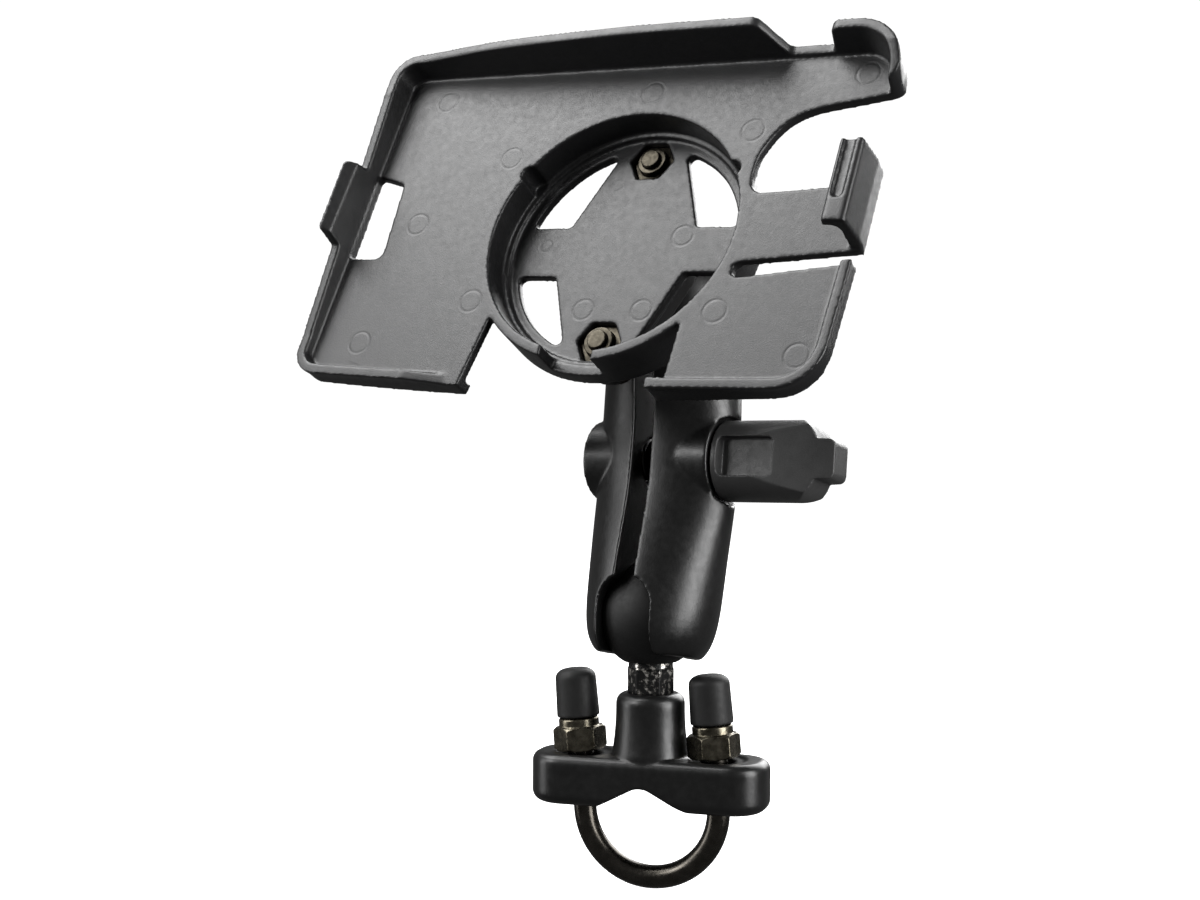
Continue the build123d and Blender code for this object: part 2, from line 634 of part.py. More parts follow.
with BuildPart(Plane(CRADLE)) as cradle:
    with BuildSketch(on(CRADLE, Plane.XY.offset(-SKIRT_DEPTH))):
        add(tray_outline(WALL))
    extrude(amount=SKIRT_DEPTH)
    with BuildSketch(on(CRADLE, Plane.XY)):
        add(tray_outline(WALL))
    extrude(amount=TALLEST, taper=-WALL_DRAFT)
    with BuildSketch(on(CRADLE, Plane.XY)):
        add(tray_outline(0))
    extrude(amount=TALLEST, taper=-WALL_DRAFT, mode=Mode.SUBTRACT)
    with BuildSketch(on(CRADLE, Plane.XY.offset(-SKIRT_DEPTH))):
        add(tray_outline(0))
    extrude(amount=SKIRT_DEPTH - FLOOR_THICKNESS, mode=Mode.SUBTRACT)
    # the skirt below the floor stays along the bottom side only, deepest in the middle
    with BuildSketch(on(CRADLE, Plane.XY.offset(-SKIRT_DEPTH))):
        with Locations((0, 20)):
            Rectangle(180, 106)
    extrude(amount=SKIRT_DEPTH - FLOOR_THICKNESS, mode=Mode.SUBTRACT)
    with BuildSketch(on(CRADLE, Plane.XZ.offset(30))):
        with BuildLine():
            ThreePointArc((-80, -SKIRT_END), (-6, -SKIRT_DEPTH), (68, -SKIRT_END))
            Polyline((68, -SKIRT_END), (68, -9), (-80, -9), (-80, -SKIRT_END))
        make_face()
    extrude(amount=20, mode=Mode.SUBTRACT)
    # rim of the top wall: rises from the left corner, drops to a low lip, then the hook's wall
    with BuildSketch(on(CRADLE, Plane.XZ.offset(-34))) as top_rim:
        with BuildLine():
            Spline(
                (-64.7, 6.3),
                (-45.7, 8.6),
                (-28.7, 9.8),
                (-12.7, 10.5),
                (5.3, 10.9),
                tangents=((1, 0.1), (1, 0)),
            )
            Polyline(
                (5.3, 10.9),
                (29.0, 10.9),
                (34.2, 1.2),
                (45.0, 1.2),
                (46.2, HOOK_RIM),
                (80, HOOK_RIM),
                (80, ABOVE),
                (-80, ABOVE),
                (-80, 6.1),
                (-64.7, 6.3),
            )
        make_face()
        for corner, radius in (((29.0, 10.9), 3.0), ((34.2, 1.2), 2.0), ((46.2, HOOK_RIM), 2.0)):
            fillet(top_rim.vertices().sort_by_distance(corner)[0], radius=radius)
    extrude(amount=-20, mode=Mode.SUBTRACT)
    # rim of the left wall, with its tall snap tab
    left_rim = [
        (36, ABOVE),
        (36, 6.1),
        (17.6, 4.9),
        (15.0, 4.8),
        (14.4, 10.4),
        (-5.2, 10.4),
        (-6.8, 4.6),
        (-30, 3.1),
        (-50, 3.1),
        (-50, ABOVE),
    ]
    tab_corners = [((14.4, 10.4), 1.4), ((-5.2, 10.4), 1.4)]
    extrude(side_profile(left_rim, Plane.YZ.offset(-80), tab_corners), amount=14, mode=Mode.SUBTRACT)
    # low rim along the bottom; it runs down to the floor beside the opening
    bottom_rim = [
        (-80, 3.1),
        (-66, 2.7),
        (-42, 2.5),
        (-31.5, 0),
        (18, 0),
        (18, 2.4),
        (45, 1.8),
        (70, 1.8),
        (70, ABOVE),
        (-80, ABOVE),
    ]
    ramp_corners = [((-42, 2.5), 6.0), ((-31.5, 0), 6.0)]
    extrude(side_profile(bottom_rim, Plane.XZ.offset(30), ramp_corners), amount=30, mode=Mode.SUBTRACT)
    # low rim of the right side, rising round the hook's corner
    right_rim = [
        (-60, 1.8),
        (30, 1.8),
        (32, 4.2),
        (35, 5.8),
        (42, HOOK_RIM),
        (60, HOOK_RIM),
        (60, ABOVE),
        (-60, ABOVE),
    ]
    extrude(side_profile(right_rim, Plane.YZ.offset(46)), amount=34, mode=Mode.SUBTRACT)
    # lead-in slope of the snap tab
    lead_in = [(-74.1, 11), (-74.1, 10.4), (-71.3, 8.0), (-66, 8.0), (-66, 11)]
    extrude(side_profile(lead_in, Plane.XZ.offset(-20)), amount=30, mode=Mode.SUBTRACT)
    # cup
    with BuildSketch(on(CRADLE, Plane.XY.offset(-CUP_BACK))):
        Circle(CUP_OUTER)
    extrude(amount=CUP_BACK)
    with BuildSketch(on(CRADLE, Plane.XY.offset(-PAD_BACK))):
        add(diamond(7.2, 15.6))
    extrude(amount=PAD_BACK - CUP_BACK)
    with BuildSketch(on(CRADLE, Plane.XY.offset(-CUP_DEPTH + 1.3))):
        Circle(CUP_RADIUS)
        # two small scallops in the rim
        with Locations((-26.5, 15.6), (26.5, 15.6)):
            Circle(2.2)
    extrude(amount=CUP_DEPTH, mode=Mode.SUBTRACT)
    with BuildSketch(on(CRADLE, Plane.XY.offset(-CUP_DEPTH))):
        Circle(CUP_RADIUS - 1.2)
    extrude(amount=CUP_DEPTH, mode=Mode.SUBTRACT)
    with BuildSketch(on(CRADLE, Plane.XY.offset(-PAD_BACK - 1))):
        for sx in (-1, 1):
            for sy in (-1, 1):
                add(floor_window(sx, sy))
    extrude(amount=PAD_BACK, mode=Mode.SUBTRACT)
    # nut pockets and screw holes
    with BuildSketch(on(CRADLE, Plane.XY.offset(-PAD_BACK - 1))):
        with Locations(*SCREW_SPOTS):
            Circle(SCREW_RADIUS + 0.15)
    extrude(amount=PAD_BACK, mode=Mode.SUBTRACT)
    with BuildSketch(on(CRADLE, Plane.XY.offset(NUT_FLOOR))):
        with Locations(*SCREW_SPOTS):
            RegularPolygon(CRADLE_NUT_FLATS / 2 + 0.15, 6, major_radius=False, rotation=0)
    extrude(amount=CUP_DEPTH, mode=Mode.SUBTRACT)
    # opening below the cup; the cup's wall stands free in it
    with BuildSketch(on(CRADLE, Plane.XY.offset(-SKIRT_DEPTH - 1))):
        with BuildLine():
            Polyline(
                (-24.6, -22),
                (-28.6, -46),
                (21.2, -46),
                (21.2, -38),
                (24.2, -38),
                (24.5, -22),
                close=True,
            )
        make_face()
        Circle(CUP_OUTER, mode=Mode.SUBTRACT)
    extrude(amount=ABOVE, mode=Mode.SUBTRACT)
    # lowered notch in the free part of the cup's wall
    with BuildSketch(on(CRADLE, Plane.XY.offset(-CUP_DEPTH + 1.8))):
        with Locations((-2, -33)):
            Rectangle(13.4, 10)
    extrude(amount=ABOVE, mode=Mode.SUBTRACT)
    # open corner on the right, the latch's place and the slot below it
    with BuildSketch(on(CRADLE, Plane.XY.offset(-SKIRT_DEPTH - 1))):
        with BuildLine():
            Line((75, 37.0), (63.6, 37.0))
            ThreePointArc((63.6, 37.0), (62.7, 35.0), (60.4, 33.7))
            Line((60.4, 33.7), (46.8, 31.4))
            Spline(
                (46.8, 31.4),
                (41.2, 29.8),
                (36.3, 26.1),
                (32.9, 19.8),
                (32.3, 13.0),
                tangents=((-1, -0.2), (0, -1)),
            )
            Polyline(
                (32.3, 13.0),
                (32.7, 11.0),
                (33.6, 9.8),
                (HINGE_X, 9.2),
                (HINGE_X, -8.7),
                (33.6, -9.4),
                (33.5, -11.6),
                (35.0, -12.5),
                (75, -7.0),
                (75, 37.0),
            )
        make_face()
    extrude(amount=20, mode=Mode.SUBTRACT)
    # window beside the left wall
    with BuildSketch(on(CRADLE, Plane.XY.offset(-SKIRT_DEPTH))) as side_window:
        with BuildLine():
            Polyline((-70.9, 15.9), (-62.5, 13.6), (-61.5, -7.8), (-71.1, -7.8), close=True)
        make_face()
        fillet(side_window.vertices().sort_by(Axis.X)[:2], radius=0.8)
        fillet(side_window.vertices().sort_by(Axis.X)[-2:], radius=2.2)
    extrude(amount=SKIRT_DEPTH + 0.4, mode=Mode.SUBTRACT)
save(cradle.part, "cradle")

# ---- release latch ---------------------------------------------------------------------------

LATCH_GAP = 0.4
FINGER_LOW = -5.6
FINGER_HIGH = 14.9
FINGER_OUTER = 62.4
LIP_TOP = 11.5

with BuildPart() as release_latch:
    with BuildSketch(on(CRADLE, Plane.XY.offset(-STRAP_THICKNESS))):
        with BuildLine():
            Polyline(
                (HINGE_X + LATCH_GAP, -8.6),
                (FINGER_OUTER, FINGER_LOW - 0.4),
                (FINGER_OUTER, FINGER_HIGH),
                (58.6, FINGER_HIGH),
                (57.0, 11.4),
                (52.0, 10.1),
                (HINGE_X + LATCH_GAP, 9.0),
                close=True,
            )
        make_face()
    extrude(amount=STRAP_THICKNESS)
    # upright finger with its hook, drawn from the side
    with BuildSketch(on(CRADLE, Plane.XZ.offset(-FINGER_LOW))) as finger:
        with BuildLine():
            Polyline(
                (59.8, -STRAP_THICKNESS),
                (FINGER_OUTER, -STRAP_THICKNESS),
                (62.8, 3.0),
                (62.2, LIP_TOP - 0.1),
                (57.0, LIP_TOP),
                (56.5, 9.3),
                (59.2, 8.7),
                (60.1, 7.4),
                close=True,
            )
        make_face()
        fillet(finger.vertices().sort_by(Axis.Y)[-2:], radius=1.0)
    extrude(amount=FINGER_LOW - FINGER_HIGH)
    # shallow scoop along the lip, open at its upper end
    with BuildSketch(on(CRADLE, Plane.XY.offset(LIP_TOP - 0.9))):
        with Locations((59.2, 8.6)):
            RectangleRounded(2.6, 17.0, 1.25)
    extrude(amount=2, mode=Mode.SUBTRACT)
save(release_latch.part, "release_latch")

# ---- screws and nuts that hold the cradle ----------------------------------------------------

SCREW_HEAD_RADIUS = 4.6
SCREW_HEAD_HEIGHT = 3.0
SCREW_END = NUT_FLOOR + 5.4
CRADLE_NUT_HEX = 2.6
CRADLE_NUT_COLLAR = 1.8

with BuildPart() as cradle_screws:
    with BuildSketch(on(CRADLE, Plane.XY.offset(-PAD_BACK - PLATE_THICKNESS - SCREW_HEAD_HEIGHT))):
        with Locations(*SCREW_SPOTS):
            Circle(SCREW_HEAD_RADIUS)
    extrude(amount=SCREW_HEAD_HEIGHT)
    with BuildSketch(on(CRADLE, Plane.XY.offset(-PAD_BACK - PLATE_THICKNESS))):
        with Locations(*SCREW_SPOTS):
            Circle(SCREW_RADIUS)
    extrude(amount=PAD_BACK + PLATE_THICKNESS + SCREW_END)
save(cradle_screws.part, "cradle_screws")

with BuildPart() as cradle_nuts:
    with BuildSketch(on(CRADLE, Plane.XY.offset(NUT_FLOOR))):
        with Locations(*SCREW_SPOTS):
            RegularPolygon(CRADLE_NUT_FLATS / 2, 6, major_radius=False)
    extrude(amount=CRADLE_NUT_HEX)
    with BuildSketch(on(CRADLE, Plane.XY.offset(NUT_FLOOR + CRADLE_NUT_HEX))):
        with Locations(*SCREW_SPOTS):
            Circle(3.6)
    extrude(amount=CRADLE_NUT_COLLAR)
    with BuildSketch(on(CRADLE, Plane.XY.offset(NUT_FLOOR))):
        with Locations(*SCREW_SPOTS):
            Circle(SCREW_RADIUS + 0.05)
    extrude(amount=7, mode=Mode.SUBTRACT)
save(cradle_nuts.part, "cradle_nuts")
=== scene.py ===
"""Looks of the handlebar device mount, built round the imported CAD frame. Metres, +Z up."""

import json
from math import radians

import bmesh
import bpy
from mathutils import Matrix, Vector

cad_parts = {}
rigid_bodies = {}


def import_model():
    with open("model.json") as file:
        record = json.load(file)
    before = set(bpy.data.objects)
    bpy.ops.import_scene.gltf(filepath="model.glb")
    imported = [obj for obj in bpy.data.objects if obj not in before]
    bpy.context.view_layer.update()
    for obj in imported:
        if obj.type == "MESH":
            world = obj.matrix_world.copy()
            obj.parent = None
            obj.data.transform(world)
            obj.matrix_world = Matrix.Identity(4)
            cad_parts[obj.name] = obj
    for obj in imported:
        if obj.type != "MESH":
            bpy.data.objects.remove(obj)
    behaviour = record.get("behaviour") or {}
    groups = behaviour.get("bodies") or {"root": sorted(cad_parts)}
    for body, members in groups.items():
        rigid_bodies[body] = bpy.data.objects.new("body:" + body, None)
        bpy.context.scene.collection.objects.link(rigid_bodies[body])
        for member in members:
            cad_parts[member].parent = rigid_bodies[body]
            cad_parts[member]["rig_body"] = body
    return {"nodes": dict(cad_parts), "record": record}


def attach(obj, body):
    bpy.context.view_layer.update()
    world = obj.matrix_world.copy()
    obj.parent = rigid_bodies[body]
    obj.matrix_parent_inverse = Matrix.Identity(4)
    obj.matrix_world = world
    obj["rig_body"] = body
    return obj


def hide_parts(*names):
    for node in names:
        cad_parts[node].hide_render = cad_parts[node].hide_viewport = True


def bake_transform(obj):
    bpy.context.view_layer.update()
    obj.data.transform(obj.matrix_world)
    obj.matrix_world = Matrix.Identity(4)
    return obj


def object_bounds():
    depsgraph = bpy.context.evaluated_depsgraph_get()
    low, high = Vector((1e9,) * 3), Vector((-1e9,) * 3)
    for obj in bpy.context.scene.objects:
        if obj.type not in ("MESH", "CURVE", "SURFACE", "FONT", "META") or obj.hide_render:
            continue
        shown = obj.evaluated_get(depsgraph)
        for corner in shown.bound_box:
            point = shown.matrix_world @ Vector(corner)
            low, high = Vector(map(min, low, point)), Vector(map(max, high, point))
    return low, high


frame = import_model()
cad_low, cad_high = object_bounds()
NODES = frame["nodes"]
RECORD = frame["record"]
MM = 0.001


def named(rows, name):
    """The row of that name in a list from the record."""
    return next(row for row in rows if row["name"] == name)


# the cradle's own directions, from its floor and from the latch's hinge
HINGE = named(RECORD["behaviour"]["joints"], "latch_press")
OUT = Vector(named(RECORD["mounts"], "device_floor")["axis"])
UP = Vector(HINGE["axis"])
RIGHT = UP.cross(OUT)
HINGE_PLACE = Vector(HINGE["pos_m"])
FLOOR_ABOVE_HINGE = 1.1 * MM
HINGE_FROM_MIDDLE = 34.6 * MM
CRADLE_MIDDLE = HINGE_PLACE + OUT * FLOOR_ABOVE_HINGE - RIGHT * HINGE_FROM_MIDDLE


def in_cradle(right, up, out):
    """Point given in millimetres from the middle of the cradle's floor."""
    return CRADLE_MIDDLE + (RIGHT * right + UP * up + OUT * out) * MM


def cradle_place(point):
    """The cradle's own millimetres of a point."""
    offset = (point - CRADLE_MIDDLE) / MM
    return offset.dot(RIGHT), offset.dot(UP), offset.dot(OUT)


# ---- materials -------------------------------------------------------------------------------


class Material:
    """A node material round one Principled shader, with helpers for its noises and bumps."""

    def __init__(self, name, metallic=0.0, roughness=0.5, specular=0.5):
        self.material = bpy.data.materials.new(name)
        self.material.use_nodes = True
        self.tree = self.material.node_tree
        self.shader = self.tree.nodes["Principled BSDF"]
        self.shader.inputs["Metallic"].default_value = metallic
        self.shader.inputs["Roughness"].default_value = roughness
        self.shader.inputs["Specular IOR Level"].default_value = specular
        self.place = self.node("ShaderNodeTexCoord").outputs["Object"]

    def node(self, kind, **values):
        made = self.tree.nodes.new(kind)
        for key, value in values.items():
            setattr(made, key, value)
        return made

    def link(self, start, end):
        self.tree.links.new(start, end)

    def noise(self, size, detail=3.0, rough=0.55, stretch=(1, 1, 1)):
        """Noise with features of about that size in metres."""
        mapping = self.node("ShaderNodeMapping")
        mapping.inputs["Scale"].default_value = stretch
        self.link(self.place, mapping.inputs["Vector"])
        made = self.node("ShaderNodeTexNoise")
        made.inputs["Scale"].default_value = 1 / size
        made.inputs["Detail"].default_value = detail
        made.inputs["Roughness"].default_value = rough
        self.link(mapping.outputs["Vector"], made.inputs["Vector"])
        return made.outputs["Fac"]

    def cells(self, size):
        """Pebbled grain of about that size in metres."""
        made = self.node("ShaderNodeTexVoronoi", feature="SMOOTH_F1")
        made.inputs["Scale"].default_value = 1 / size
        made.inputs["Smoothness"].default_value = 0.6
        self.link(self.place, made.inputs["Vector"])
        return made.outputs["Distance"]

    def ramp(self, factor, stops):
        """Colours at positions along a factor."""
        made = self.node("ShaderNodeValToRGB")
        elements = made.color_ramp.elements
        while len(elements) < len(stops):
            elements.new(0.5)
        for element, (position, colour) in zip(elements, stops):
            element.position = position
            element.color = (*colour, 1.0)
        self.link(factor, made.inputs["Fac"])
        return made.outputs["Color"]

    def span(self, factor, low, high, start=0.3, end=0.7):
        """The factor from start to end, mapped to low and high."""
        made = self.node("ShaderNodeMapRange")
        made.inputs["From Min"].default_value = start
        made.inputs["From Max"].default_value = end
        made.inputs["To Min"].default_value = low
        made.inputs["To Max"].default_value = high
        self.link(factor, made.inputs["Value"])
        return made.outputs["Result"]

    def bump(self, height, depth, strength=1.0, under=None):
        """Bump of that depth in metres, on top of another bump."""
        made = self.node("ShaderNodeBump")
        made.inputs["Strength"].default_value = strength
        made.inputs["Distance"].default_value = depth
        self.link(height, made.inputs["Height"])
        if under is not None:
            self.link(under, made.inputs["Normal"])
        return made.outputs["Normal"]

    def maths(self, operation, first, second):
        """A sum, product or other operation on two values."""
        made = self.node("ShaderNodeMath", operation=operation)
        for socket, value in zip(made.inputs, (first, second)):
            if isinstance(value, float):
                socket.default_value = value
            else:
                self.link(value, socket)
        return made.outputs["Value"]

    def rings(self, centres, radius, width):
        """1 on thin circles of one radius round the centres and 0 elsewhere."""
        total = None
        for centre in centres:
            away = self.node("ShaderNodeVectorMath", operation="DISTANCE")
            away.inputs[1].default_value = centre
            self.link(self.place, away.inputs[0])
            off_ring = self.maths("SUBTRACT", away.outputs["Value"], radius)
            line = self.span(self.maths("ABSOLUTE", off_ring, 0.0), 1.0, 0.0, 0.0, width)
            total = line if total is None else self.maths("MAXIMUM", total, line)
        return total

    def finish(self, colour, roughness, normal):
        self.link(colour, self.shader.inputs["Base Color"])
        self.link(roughness, self.shader.inputs["Roughness"])
        self.link(normal, self.shader.inputs["Normal"])
        return self.material


def moulded_plastic(name, tone, low, high, marks=()):
    """Black moulded plastic with a fine matt grain and the round marks of the mould's ejector pins."""
    m = Material(name, specular=0.5)
    light = tuple(1.35 * c for c in tone)
    colour = m.ramp(m.noise(9 * MM, 4.0), [(0.3, tone), (0.75, light)])
    rough = m.span(m.noise(1.6 * MM, 5.0), low, high)
    grain = m.bump(m.noise(0.3 * MM, 2.0), 0.035 * MM, 0.9)
    grain = m.bump(m.cells(0.6 * MM), 0.015 * MM, 0.5, grain)
    for centres, radius in marks:
        circles = m.rings(centres, radius, 0.5 * MM)
        grain = m.bump(m.maths("MULTIPLY", circles, -1.0), 0.05 * MM, 1.0, grain)
    return m.finish(colour, rough, grain)


def powder_coat(name):
    """Black powder coat on a casting: soft orange peel over a slightly uneven casting."""
    m = Material(name, specular=0.5)
    colour = m.ramp(m.noise(6 * MM, 4.0), [(0.3, (0.004, 0.004, 0.004)), (0.75, (0.007, 0.007, 0.007))])
    rough = m.span(m.noise(1.5 * MM, 5.0), 0.3, 0.4)
    peel = m.bump(m.noise(3.2 * MM, 2.0), 0.06 * MM, 0.4)
    peel = m.bump(m.noise(0.5 * MM, 3.0), 0.03 * MM, 0.7, peel)
    return m.finish(colour, rough, peel)


def rubber(name, tone, low=0.5, high=0.62):
    """Soft rubber with a faint bloom."""
    m = Material(name, specular=0.35)
    light = tuple(1.4 * c for c in tone)
    colour = m.ramp(m.noise(3 * MM, 6.0), [(0.35, tone), (0.75, light)])
    rough = m.span(m.noise(1.1 * MM, 4.0), low, high)
    skin = m.bump(m.noise(0.4 * MM, 3.0), 0.02 * MM, 0.6)
    return m.finish(colour, rough, skin)


def plated_steel(name, dark, light, low=0.26, high=0.38):
    """Plated steel with a cloudy tint and fine drawing marks."""
    m = Material(name, metallic=1.0)
    colour = m.ramp(m.noise(1.8 * MM, 5.0), [(0.3, dark), (0.7, light)])
    rough = m.span(m.noise(0.8 * MM, 4.0), low, high)
    marks = m.bump(m.noise(0.35 * MM, 3.0, stretch=(1, 1, 0.15)), 0.015 * MM, 0.5)
    return m.finish(colour, rough, marks)


def worn_neck(name):
    """Black coat flecked with bright bare metal."""
    m = Material(name, metallic=0.8)
    fleck = m.noise(1.6 * MM, 4.0, 0.65)
    colour = m.ramp(
        fleck,
        [(0.5, (0.02, 0.02, 0.02)), (0.56, (0.14, 0.135, 0.125)), (0.62, (0.75, 0.72, 0.67))],
    )
    rough = m.span(fleck, 0.45, 0.25, 0.5, 0.64)
    pits = m.bump(fleck, 0.06 * MM, 0.6)
    return m.finish(colour, rough, pits)


# ejector marks: places on the cradle's floor and on the cup's floor, right and up in millimetres
FLOOR_MARKS = [
    (-57.7, 37.7),
    (-33.0, 20.1),
    (-54.0, 1.8),
    (-31.4, -19.3),
    (-59.1, -31.0),
    (0.7, 37.3),
    (29.5, 25.5),
    (54.0, 39.5),
    (32.2, -21.0),
    (53.8, -31.3),
]
CUP_MARKS = [(13.9, 3.5), (8.7, -16.1), (-6.5, -16.2)]
SMALL_CUP_MARKS = [(-7.3, 17.6), (-21.9, 0.9)]
CUP_FLOOR = -8.8
MARK_LIFT = 1.0  # the circles' centres stand above the face, so that they miss its back


def marks_on(spots, height, radius):
    """Centres and slant radius of circles drawn on a face at that height."""
    centres = [in_cradle(right, up, height + MARK_LIFT) for right, up in spots]
    return centres, (radius**2 + MARK_LIFT**2) ** 0.5 * MM


CRADLE_PLASTIC = moulded_plastic(
    "cradle_plastic",
    (0.008, 0.008, 0.0085),
    0.36,
    0.46,
    [
        marks_on(FLOOR_MARKS, 0.0, 2.8),
        marks_on(CUP_MARKS, CUP_FLOOR, 2.6),
        marks_on(SMALL_CUP_MARKS, CUP_FLOOR, 1.5),
    ],
)
KNOB_PLASTIC = moulded_plastic("knob_plastic", (0.034, 0.034, 0.034), 0.38, 0.5)
CAST_BLACK = powder_coat("cast_black")
BALL_RUBBER = rubber("ball_rubber", (0.007, 0.007, 0.007))
CAP_RUBBER = rubber("cap_rubber", (0.01, 0.01, 0.01))
ROD_STEEL = plated_steel("rod_steel", (0.048, 0.044, 0.038), (0.085, 0.078, 0.068), 0.22, 0.32)
DARK_STEEL = plated_steel("dark_steel", (0.018, 0.016, 0.012), (0.055, 0.049, 0.038))
NUT_STEEL = plated_steel("nut_steel", (0.07, 0.062, 0.045), (0.22, 0.2, 0.155), 0.22, 0.36)
SPRING_STEEL = plated_steel("spring_steel", (0.02, 0.02, 0.02), (0.04, 0.04, 0.04))
BRIGHT_METAL = worn_neck("bright_metal")
NYLON = rubber("nylon", (0.35, 0.35, 0.33))
BRASS = plated_steel("insert_brass", (0.6, 0.43, 0.2), (0.75, 0.58, 0.32))


# ---- meshes ----------------------------------------------------------------------------------


def baked(piece):
    """Turn the piece's modifiers into its own mesh."""
    depsgraph = bpy.context.evaluated_depsgraph_get()
    mesh = bpy.data.meshes.new_from_object(piece.evaluated_get(depsgraph))
    piece.modifiers.clear()
    old = piece.data
    piece.data = mesh
    bpy.data.meshes.remove(old)


def welded_copy(node, name):
    """A copy of a CAD node's mesh with its seams closed."""
    mesh = NODES[node].data.copy()
    piece = bpy.data.objects.new(name, mesh)
    bpy.context.scene.collection.objects.link(piece)
    edit = bmesh.new()
    edit.from_mesh(mesh)
    bmesh.ops.remove_doubles(edit, verts=edit.verts, dist=1e-6)
    edit.to_mesh(mesh)
    edit.free()
    return piece


def softened(piece, voxel, rounds, most_faces):
    """Give every edge of a closed mesh the small radius that a casting or a moulding has."""
    remesh = piece.modifiers.new("remesh", "REMESH")
    remesh.mode = "VOXEL"
    remesh.voxel_size = voxel
    baked(piece)
    smooth = piece.modifiers.new("smooth", "SMOOTH")
    smooth.factor = 0.5
    smooth.iterations = rounds
    baked(piece)
    count = sum(len(p.vertices) - 2 for p in piece.data.polygons)
    if count > most_faces:
        thin = piece.modifiers.new("thin", "DECIMATE")
        thin.ratio = most_faces / count
        baked(piece)
    piece.data.shade_smooth()


def dressed(piece, node, material):
    """Finish a piece that stands for a CAD node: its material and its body."""
    piece.data.materials.clear()
    piece.data.materials.append(material)
    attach(piece, NODES[node]["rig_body"])
    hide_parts(node)


def soft_piece(node, material, voxel, rounds, most_faces):
    """A softened copy of one CAD node that stands for it."""
    piece = welded_copy(node, node + "_look")
    softened(piece, voxel, rounds, most_faces)
    dressed(piece, node, material)


def repaint(node, material):
    """Keep a CAD node and give it a procedural material."""
    mesh = NODES[node].data
    mesh.materials.clear()
    mesh.materials.append(material)


# the cradle and its latch are one moulding, joined across the strap's root
ROOT = 34.8  # where the strap starts, right of the middle
FILLER_LOW = (34.0, -8.4, -2.1)
FILLER_HIGH = (36.4, 8.8, -0.1)
STRAP_SLANT = 0.115  # rise of the strap's lower side to the right
STRAP_LOW = -10.6
STRAP_HIGH = 17.0
CUT_REACH = 2.0  # faces this near the root are cut by its plane
MOULDING_VOXEL = 0.36 * MM
MOULDING_ROUNDS = 9
MOULDING_FACES = 190000


def filler():
    """A small block that closes the gap at the strap's root."""
    edit = bmesh.new()
    bmesh.ops.create_cube(edit, size=1.0)
    for vertex in edit.verts:
        corner = [
            low if side < 0 else high for side, low, high in zip(vertex.co, FILLER_LOW, FILLER_HIGH)
        ]
        vertex.co = in_cradle(*corner)
    mesh = bpy.data.meshes.new("filler")
    edit.to_mesh(mesh)
    edit.free()
    return mesh


def united(name, meshes):
    """One object that holds all the meshes."""
    edit = bmesh.new()
    for mesh in meshes:
        edit.from_mesh(mesh)
    mesh = bpy.data.meshes.new(name)
    edit.to_mesh(mesh)
    edit.free()
    piece = bpy.data.objects.new(name, mesh)
    bpy.context.scene.collection.objects.link(piece)
    return piece


def on_strap(point):
    """Whether a point of the moulding belongs to the latch."""
    right, up, _ = cradle_place(point)
    return right > ROOT and STRAP_LOW + STRAP_SLANT * (right - ROOT) < up < STRAP_HIGH


def closed_half(mesh, keep):
    """The faces of a cut mesh for which keep is true, closed where the cut runs."""
    edit = bmesh.new()
    edit.from_mesh(mesh)
    gone = [face for face in edit.faces if not keep(face.calc_center_median())]
    bmesh.ops.delete(edit, geom=gone, context="FACES")
    rim = [edge for edge in edit.edges if edge.is_boundary]
    for edge in rim:
        edge.smooth = False
    bmesh.ops.triangle_fill(edit, edges=rim, use_beauty=True)
    bmesh.ops.recalc_face_normals(edit, faces=edit.faces)
    half = bpy.data.meshes.new(mesh.name + "_half")
    edit.to_mesh(half)
    edit.free()
    return half


def cut_at_root(mesh):
    """Cut the moulding's faces along the plane of the strap's root."""
    edit = bmesh.new()
    edit.from_mesh(mesh)
    near = []
    for face in edit.faces:
        right, up, _ = cradle_place(face.calc_center_median())
        if abs(right - ROOT) < CUT_REACH and STRAP_LOW < up < STRAP_HIGH:
            near.append(face)
    edges = list({edge for face in near for edge in face.edges})
    verts = list({vertex for face in near for vertex in face.verts})
    bmesh.ops.bisect_plane(
        edit,
        geom=near + edges + verts,
        dist=1e-8,
        plane_co=in_cradle(ROOT, 0, 0),
        plane_no=RIGHT,
    )
    edit.to_mesh(mesh)
    edit.free()


def moulding():
    """The cradle and its latch, softened as one mesh and then parted at the strap's root."""
    sources = [welded_copy(node, node + "_source") for node in ("cradle", "release_latch")]
    whole = united("cradle_look", [source.data for source in sources] + [filler()])
    for source in sources:
        bpy.data.objects.remove(source)
    softened(whole, MOULDING_VOXEL, MOULDING_ROUNDS, MOULDING_FACES)
    cut_at_root(whole.data)
    latch = bpy.data.objects.new("release_latch_look", closed_half(whole.data, on_strap))
    bpy.context.scene.collection.objects.link(latch)
    whole.data = closed_half(whole.data, lambda point: not on_strap(point))
    for piece in (whole, latch):
        piece.data.materials.clear()
        piece.data.materials.append(CRADLE_PLASTIC)
    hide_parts("cradle")
    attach(whole, NODES["cradle"]["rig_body"])
    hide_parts("release_latch")
    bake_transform(latch)


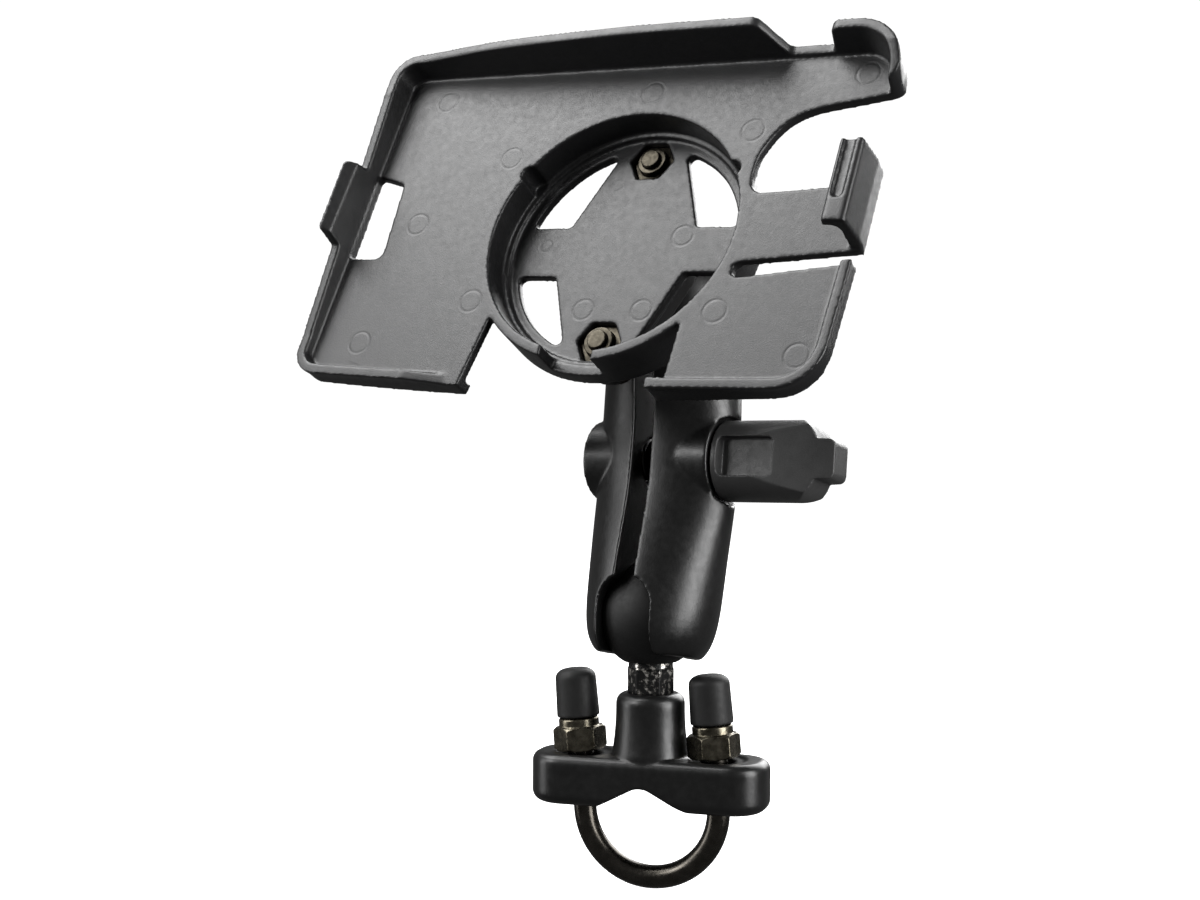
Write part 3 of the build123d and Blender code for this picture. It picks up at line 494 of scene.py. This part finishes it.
# node: material, slot, voxel in millimetres, rounds of smoothing, most faces
SOFT_PIECES = {
    "arm_bolt_half": (CAST_BLACK, "cast_black", 0.33, 14, 150000),
    "arm_knob_half": (CAST_BLACK, "cast_black", 0.33, 14, 150000),
    "base_plate": (CAST_BLACK, "cast_black", 0.3, 10, 100000),
    "ball_plate": (CAST_BLACK, "cast_black", 0.35, 3, 60000),
    "clamp_knob": (KNOB_PLASTIC, "knob_plastic", 0.2, 10, 100000),
    "ball_stud": (BRIGHT_METAL, "bright_metal", 0.2, 2, 60000),
    "lock_nut_left": (NUT_STEEL, "nut_steel", 0.14, 2, 40000),
    "lock_nut_right": (NUT_STEEL, "nut_steel", 0.14, 2, 40000),
    "thread_cap_left": (CAP_RUBBER, "cap_rubber", 0.2, 24, 30000),
    "thread_cap_right": (CAP_RUBBER, "cap_rubber", 0.2, 24, 30000),
    "u_bolt": (ROD_STEEL, "dark_steel", 0.22, 2, 60000),
    "lower_ball_cover": (BALL_RUBBER, "ball_rubber", 0.25, 2, 40000),
    "upper_ball_cover": (BALL_RUBBER, "ball_rubber", 0.25, 2, 40000),
    "clamp_bolt": (DARK_STEEL, "dark_steel", 0.18, 2, 40000),
    "cradle_nuts": (DARK_STEEL, "dark_steel", 0.15, 2, 40000),
    "cradle_screws": (DARK_STEEL, "dark_steel", 0.18, 2, 40000),
}

moulding()
for node, (material, slot, voxel, rounds, most_faces) in SOFT_PIECES.items():
    soft_piece(node, material, voxel * MM, rounds, most_faces)
for side in ("left", "right"):
    repaint(f"nylon_ring_{side}", NYLON)
repaint("clamp_spring", SPRING_STEEL)
repaint("clamp_washer", DARK_STEEL)
repaint("knob_insert", BRASS)


# ---- stage, lights and camera ----------------------------------------------------------------

FLOOR_DROP = 0.5 * MM
FLOOR_SIZE = 8.0
FLOOR_GLOW = 1.0
AIM = Vector((-0.005, 0.0, 0.12))


def make_floor():
    """A plain pale floor just under the U-bolt, kept out of the object's reflections."""
    height = cad_low.z - FLOOR_DROP
    edit = bmesh.new()
    bmesh.ops.create_grid(edit, x_segments=8, y_segments=8, size=FLOOR_SIZE / 2)
    mesh = bpy.data.meshes.new("floor")
    edit.to_mesh(mesh)
    edit.free()
    floor = bpy.data.objects.new("floor", mesh)
    floor.location.z = height
    floor.visible_glossy = False
    floor.visible_diffuse = False
    bpy.context.scene.collection.objects.link(floor)
    m = Material("floor_paint", specular=0.2)
    m.shader.inputs["Emission Color"].default_value = (1.0, 1.0, 1.0, 1.0)
    m.shader.inputs["Emission Strength"].default_value = FLOOR_GLOW
    colour = m.ramp(m.noise(0.3, 2.0), [(0.3, (0.8, 0.8, 0.8)), (0.7, (0.82, 0.82, 0.82))])
    rough = m.span(m.noise(0.05, 2.0), 0.65, 0.75)
    mesh.materials.append(m.finish(colour, rough, m.bump(m.noise(0.01, 2.0), 0.02 * MM)))


def make_light(name, place, size, power, tall):
    """A soft light aimed at the object."""
    data = bpy.data.lights.new(name, "AREA")
    data.shape = "RECTANGLE"
    data.size = size
    data.size_y = size * tall
    data.energy = power
    light = bpy.data.objects.new(name, data)
    light.location = place
    light.rotation_euler = (AIM - Vector(place)).to_track_quat("-Z", "Y").to_euler()
    light.visible_camera = False
    bpy.context.scene.collection.objects.link(light)


CAMERA_PLACE = Vector((122.7, -417.5, 98.8)) * MM
CAMERA_YAW = radians(18.0)
CAMERA_DOWN = radians(1.2)
CAMERA_ROLL = radians(0.31)
CAMERA_LENS = 55.14
SENSOR_WIDTH = 36.0


def make_camera():
    """The camera, a little to the right of the object and nearly level."""
    data = bpy.data.cameras.new("camera")
    data.lens = CAMERA_LENS
    data.sensor_width = SENSOR_WIDTH
    data.clip_start = 0.01
    data.clip_end = 50.0
    camera = bpy.data.objects.new("camera", data)
    turn = Matrix.Rotation(CAMERA_YAW, 4, "Z")
    tilt = Matrix.Rotation(radians(90) - CAMERA_DOWN, 4, "X")
    roll = Matrix.Rotation(CAMERA_ROLL, 4, "Z")
    camera.matrix_world = Matrix.Translation(CAMERA_PLACE) @ turn @ tilt @ roll
    bpy.context.scene.collection.objects.link(camera)
    bpy.context.scene.camera = camera


def make_world():
    """White surroundings for the camera, and dim ones for the object, as in a dark studio."""
    world = bpy.data.worlds.new("studio")
    world.use_nodes = True
    tree = world.node_tree
    dim = tree.nodes["Background"]
    dim.inputs["Color"].default_value = (1.0, 1.0, 1.0, 1.0)
    dim.inputs["Strength"].default_value = SURROUNDINGS
    white = tree.nodes.new("ShaderNodeBackground")
    white.inputs["Color"].default_value = (1.0, 1.0, 1.0, 1.0)
    white.inputs["Strength"].default_value = BACKDROP
    rays = tree.nodes.new("ShaderNodeLightPath")
    mix = tree.nodes.new("ShaderNodeMixShader")
    tree.links.new(rays.outputs["Is Camera Ray"], mix.inputs["Fac"])
    tree.links.new(dim.outputs["Background"], mix.inputs[1])
    tree.links.new(white.outputs["Background"], mix.inputs[2])
    tree.links.new(mix.outputs["Shader"], tree.nodes["World Output"].inputs["Surface"])
    bpy.context.scene.world = world


# name, place in metres, width, watts, height in widths
LIGHTS = [
    ("key", (-0.50, -0.12, 1.02), 0.7, 16.5, 1.0),
    ("left", (-0.95, -0.35, 0.2), 0.35, 4.0, 2.5),
    ("right", (0.9, -0.22, 0.26), 0.5, 13.0, 1.6),
    ("front", (-0.62, -0.62, 0.50), 0.35, 3.8, 1.0),
    ("back", (0.2, 0.9, 0.5), 0.7, 9.0, 1.0),
]
SURROUNDINGS = 0.12
BACKDROP = 1.05

make_floor()
for name, place, size, power, tall in LIGHTS:
    make_light(name, place, size, power, tall)
make_camera()
make_world()
bpy.context.scene.view_settings.view_transform = "Standard"
